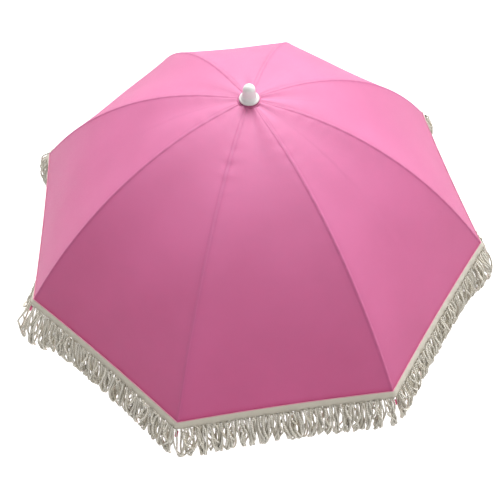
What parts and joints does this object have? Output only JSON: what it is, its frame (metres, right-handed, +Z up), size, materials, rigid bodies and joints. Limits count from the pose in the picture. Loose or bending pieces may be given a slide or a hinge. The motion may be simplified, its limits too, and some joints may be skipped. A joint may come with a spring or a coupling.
{
  "type": "beach parasol",
  "caption": "Beach parasol with a cord-fringed cloth canopy on folding ribs and stretchers, a sliding runner, a domed finial and a telescopic pole with a clamp knob",
  "frame": {"origin": "middle of the small flat end of the ground plug, where the pole goes into the ground or a stand", "axes": "+Z up along the pole, +X towards the clamp knob, the canopy's eight flat sides square to X, Y and the diagonals"},
  "size_m": [1.5144, 1.5144, 2.1508],
  "materials": {
    "canopy_cloth": "woven polyester cloth, pink",
    "fringe_cotton": "twisted cotton cord fringe, cream",
    "finial_plastic": "white moulded plastic",
    "white_plastic": "white moulded plastic",
    "pink_plastic": "pink moulded plastic",
    "dark_plastic": "dark grey moulded plastic",
    "upper_tube": "light grey enamelled steel tube",
    "lower_tube": "grey steel tube",
    "frame_steel": "zinc plated flat steel",
    "brass": "brass insert"
  },
  "bodies": {
    "lower": {"lower_pole": "lower_tube", "ground_plug": "dark_plastic", "pole_bush": "dark_plastic"},
    "upper": {"upper_pole": "upper_tube", "lock_collar": "white_plastic", "lock_insert": "brass", "runner_stop": "white_plastic", "crown_hub": "white_plastic", "hub_wire": "frame_steel", "finial_stud": "frame_steel", "finial": "finial_plastic", "crown_patch": "canopy_cloth"},
    "knob": {"lock_knob": "white_plastic"},
    "slider": {"runner": "white_plastic", "runner_wire": "frame_steel"},
    "rib_set_1": {"rib_1": "frame_steel", "rib_tip_1": "pink_plastic", "canopy_1": "canopy_cloth"},
    "stretcher_set_1": {"stretcher_1": "frame_steel"},
    "fringe_set_1": {"fringe_1": "fringe_cotton"},
    "rib_set_2": {"rib_2": "frame_steel", "rib_tip_2": "pink_plastic", "canopy_2": "canopy_cloth"},
    "stretcher_set_2": {"stretcher_2": "frame_steel"},
    "fringe_set_2": {"fringe_2": "fringe_cotton"},
    "rib_set_3": {"rib_3": "frame_steel", "rib_tip_3": "pink_plastic", "canopy_3": "canopy_cloth"},
    "stretcher_set_3": {"stretcher_3": "frame_steel"},
    "fringe_set_3": {"fringe_3": "fringe_cotton"},
    "rib_set_4": {"rib_4": "frame_steel", "rib_tip_4": "pink_plastic", "canopy_4": "canopy_cloth"},
    "stretcher_set_4": {"stretcher_4": "frame_steel"},
    "fringe_set_4": {"fringe_4": "fringe_cotton"},
    "rib_set_5": {"rib_5": "frame_steel", "rib_tip_5": "pink_plastic", "canopy_5": "canopy_cloth"},
    "stretcher_set_5": {"stretcher_5": "frame_steel"},
    "fringe_set_5": {"fringe_5": "fringe_cotton"},
    "rib_set_6": {"rib_6": "frame_steel", "rib_tip_6": "pink_plastic", "canopy_6": "canopy_cloth"},
    "stretcher_set_6": {"stretcher_6": "frame_steel"},
    "fringe_set_6": {"fringe_6": "fringe_cotton"},
    "rib_set_7": {"rib_7": "frame_steel", "rib_tip_7": "pink_plastic", "canopy_7": "canopy_cloth"},
    "stretcher_set_7": {"stretcher_7": "frame_steel"},
    "fringe_set_7": {"fringe_7": "fringe_cotton"},
    "rib_set_8": {"rib_8": "frame_steel", "rib_tip_8": "pink_plastic", "canopy_8": "canopy_cloth"},
    "stretcher_set_8": {"stretcher_8": "frame_steel"},
    "fringe_set_8": {"fringe_8": "fringe_cotton"}
  },
  "joints": [
    {"name": "height_slide", "type": "slide", "parent": "lower", "child": "upper", "axis": [0, 0, 1], "range_m": [-0.3, 0]},
    {"name": "knob_turn", "type": "hinge", "parent": "upper", "child": "knob", "pos_m": [0.035, 0, 1.024], "axis": [1, 0, 0], "range_deg": [0, 360]},
    {"name": "runner_slide", "type": "slide", "parent": "upper", "child": "slider", "axis": [0, 0, 1], "range_m": [-0.40493, 0]},
    {"name": "rib_fold_1", "type": "hinge", "parent": "upper", "child": "rib_set_1", "pos_m": [0.01663, 0.00689, 2.0915], "axis": [-0.3827, 0.9239, 0], "range_deg": [-0.1, 52.1], "deforming": ["canopy_1"]},
    {"name": "stretcher_swing_1", "type": "hinge", "parent": "slider", "child": "stretcher_set_1", "pos_m": [0.02349, 0.01384, 1.743], "axis": [-0.3827, 0.9239, 0], "range_deg": [-37.11, 0.1]},
    {"name": "fringe_hang_1", "type": "hinge", "parent": "rib_set_1", "child": "fringe_set_1", "pos_m": [0.7202, 0.29831, 1.66685], "axis": [-0.3827, 0.9239, 0], "range_deg": [-52.1, 0.1], "deforming": ["fringe_1"]},
    {"name": "rib_fold_2", "type": "hinge", "parent": "upper", "child": "rib_set_2", "pos_m": [0.00689, 0.01663, 2.0915], "axis": [-0.9239, 0.3827, 0], "range_deg": [-0.1, 52.1], "deforming": ["canopy_2"]},
    {"name": "stretcher_swing_2", "type": "hinge", "parent": "slider", "child": "stretcher_set_2", "pos_m": [0.00682, 0.0264, 1.743], "axis": [-0.9239, 0.3827, 0], "range_deg": [-37.11, 0.1]},
    {"name": "fringe_hang_2", "type": "hinge", "parent": "rib_set_2", "child": "fringe_set_2", "pos_m": [0.29831, 0.7202, 1.66685], "axis": [-0.9239, 0.3827, 0], "range_deg": [-52.1, 0.1], "deforming": ["fringe_2"]},
    {"name": "rib_fold_3", "type": "hinge", "parent": "upper", "child": "rib_set_3", "pos_m": [-0.00689, 0.01663, 2.0915], "axis": [-0.9239, -0.3827, 0], "range_deg": [-0.1, 52.1], "deforming": ["canopy_3"]},
    {"name": "stretcher_swing_3", "type": "hinge", "parent": "slider", "child": "stretcher_set_3", "pos_m": [-0.01384, 0.02349, 1.743], "axis": [-0.9239, -0.3827, 0], "range_deg": [-37.11, 0.1]},
    {"name": "fringe_hang_3", "type": "hinge", "parent": "rib_set_3", "child": "fringe_set_3", "pos_m": [-0.29831, 0.7202, 1.66685], "axis": [-0.9239, -0.3827, 0], "range_deg": [-52.1, 0.1], "deforming": ["fringe_3"]},
    {"name": "rib_fold_4", "type": "hinge", "parent": "upper", "child": "rib_set_4", "pos_m": [-0.01663, 0.00689, 2.0915], "axis": [-0.3827, -0.9239, 0], "range_deg": [-0.1, 52.1], "deforming": ["canopy_4"]},
    {"name": "stretcher_swing_4", "type": "hinge", "parent": "slider", "child": "stretcher_set_4", "pos_m": [-0.0264, 0.00682, 1.743], "axis": [-0.3827, -0.9239, 0], "range_deg": [-37.11, 0.1]},
    {"name": "fringe_hang_4", "type": "hinge", "parent": "rib_set_4", "child": "fringe_set_4", "pos_m": [-0.7202, 0.29831, 1.66685], "axis": [-0.3827, -0.9239, 0], "range_deg": [-52.1, 0.1], "deforming": ["fringe_4"]},
    {"name": "rib_fold_5", "type": "hinge", "parent": "upper", "child": "rib_set_5", "pos_m": [-0.01663, -0.00689, 2.0915], "axis": [0.3827, -0.9239, 0], "range_deg": [-0.1, 52.1], "deforming": ["canopy_5"]},
    {"name": "stretcher_swing_5", "type": "hinge", "parent": "slider", "child": "stretcher_set_5", "pos_m": [-0.02349, -0.01384, 1.743], "axis": [0.3827, -0.9239, 0], "range_deg": [-37.11, 0.1]},
    {"name": "fringe_hang_5", "type": "hinge", "parent": "rib_set_5", "child": "fringe_set_5", "pos_m": [-0.7202, -0.29831, 1.66685], "axis": [0.3827, -0.9239, 0], "range_deg": [-52.1, 0.1], "deforming": ["fringe_5"]},
    {"name": "rib_fold_6", "type": "hinge", "parent": "upper", "child": "rib_set_6", "pos_m": [-0.00689, -0.01663, 2.0915], "axis": [0.9239, -0.3827, 0], "range_deg": [-0.1, 52.1], "deforming": ["canopy_6"]},
    {"name": "stretcher_swing_6", "type": "hinge", "parent": "slider", "child": "stretcher_set_6", "pos_m": [-0.00682, -0.0264, 1.743], "axis": [0.9239, -0.3827, 0], "range_deg": [-37.11, 0.1]},
    {"name": "fringe_hang_6", "type": "hinge", "parent": "rib_set_6", "child": "fringe_set_6", "pos_m": [-0.29831, -0.7202, 1.66685], "axis": [0.9239, -0.3827, 0], "range_deg": [-52.1, 0.1], "deforming": ["fringe_6"]},
    {"name": "rib_fold_7", "type": "hinge", "parent": "upper", "child": "rib_set_7", "pos_m": [0.00689, -0.01663, 2.0915], "axis": [0.9239, 0.3827, 0], "range_deg": [-0.1, 52.1], "deforming": ["canopy_7"]},
    {"name": "stretcher_swing_7", "type": "hinge", "parent": "slider", "child": "stretcher_set_7", "pos_m": [0.01384, -0.02349, 1.743], "axis": [0.9239, 0.3827, 0], "range_deg": [-37.11, 0.1]},
    {"name": "fringe_hang_7", "type": "hinge", "parent": "rib_set_7", "child": "fringe_set_7", "pos_m": [0.29831, -0.7202, 1.66685], "axis": [0.9239, 0.3827, 0], "range_deg": [-52.1, 0.1], "deforming": ["fringe_7"]},
    {"name": "rib_fold_8", "type": "hinge", "parent": "upper", "child": "rib_set_8", "pos_m": [0.01663, -0.00689, 2.0915], "axis": [0.3827, 0.9239, 0], "range_deg": [-0.1, 52.1], "deforming": ["canopy_8"]},
    {"name": "stretcher_swing_8", "type": "hinge", "parent": "slider", "child": "stretcher_set_8", "pos_m": [0.0264, -0.00682, 1.743], "axis": [0.3827, 0.9239, 0], "range_deg": [-37.11, 0.1]},
    {"name": "fringe_hang_8", "type": "hinge", "parent": "rib_set_8", "child": "fringe_set_8", "pos_m": [0.7202, -0.29831, 1.66685], "axis": [0.3827, 0.9239, 0], "range_deg": [-52.1, 0.1], "deforming": ["fringe_8"]}
  ],
  "couplings": [
    {"joint": "rib_fold_1", "follows": "runner_slide", "rad_per_m": -2.2413},
    {"joint": "stretcher_swing_1", "follows": "runner_slide", "rad_per_m": 1.5954},
    {"joint": "fringe_hang_1", "follows": "runner_slide", "rad_per_m": 2.2413},
    {"joint": "rib_fold_2", "follows": "runner_slide", "rad_per_m": -2.2413},
    {"joint": "stretcher_swing_2", "follows": "runner_slide", "rad_per_m": 1.5954},
    {"joint": "fringe_hang_2", "follows": "runner_slide", "rad_per_m": 2.2413},
    {"joint": "rib_fold_3", "follows": "runner_slide", "rad_per_m": -2.2413},
    {"joint": "stretcher_swing_3", "follows": "runner_slide", "rad_per_m": 1.5954},
    {"joint": "fringe_hang_3", "follows": "runner_slide", "rad_per_m": 2.2413},
    {"joint": "rib_fold_4", "follows": "runner_slide", "rad_per_m": -2.2413},
    {"joint": "stretcher_swing_4", "follows": "runner_slide", "rad_per_m": 1.5954},
    {"joint": "fringe_hang_4", "follows": "runner_slide", "rad_per_m": 2.2413},
    {"joint": "rib_fold_5", "follows": "runner_slide", "rad_per_m": -2.2413},
    {"joint": "stretcher_swing_5", "follows": "runner_slide", "rad_per_m": 1.5954},
    {"joint": "fringe_hang_5", "follows": "runner_slide", "rad_per_m": 2.2413},
    {"joint": "rib_fold_6", "follows": "runner_slide", "rad_per_m": -2.2413},
    {"joint": "stretcher_swing_6", "follows": "runner_slide", "rad_per_m": 1.5954},
    {"joint": "fringe_hang_6", "follows": "runner_slide", "rad_per_m": 2.2413},
    {"joint": "rib_fold_7", "follows": "runner_slide", "rad_per_m": -2.2413},
    {"joint": "stretcher_swing_7", "follows": "runner_slide", "rad_per_m": 1.5954},
    {"joint": "fringe_hang_7", "follows": "runner_slide", "rad_per_m": 2.2413},
    {"joint": "rib_fold_8", "follows": "runner_slide", "rad_per_m": -2.2413},
    {"joint": "stretcher_swing_8", "follows": "runner_slide", "rad_per_m": 1.5954},
    {"joint": "fringe_hang_8", "follows": "runner_slide", "rad_per_m": 2.2413}
  ]
}
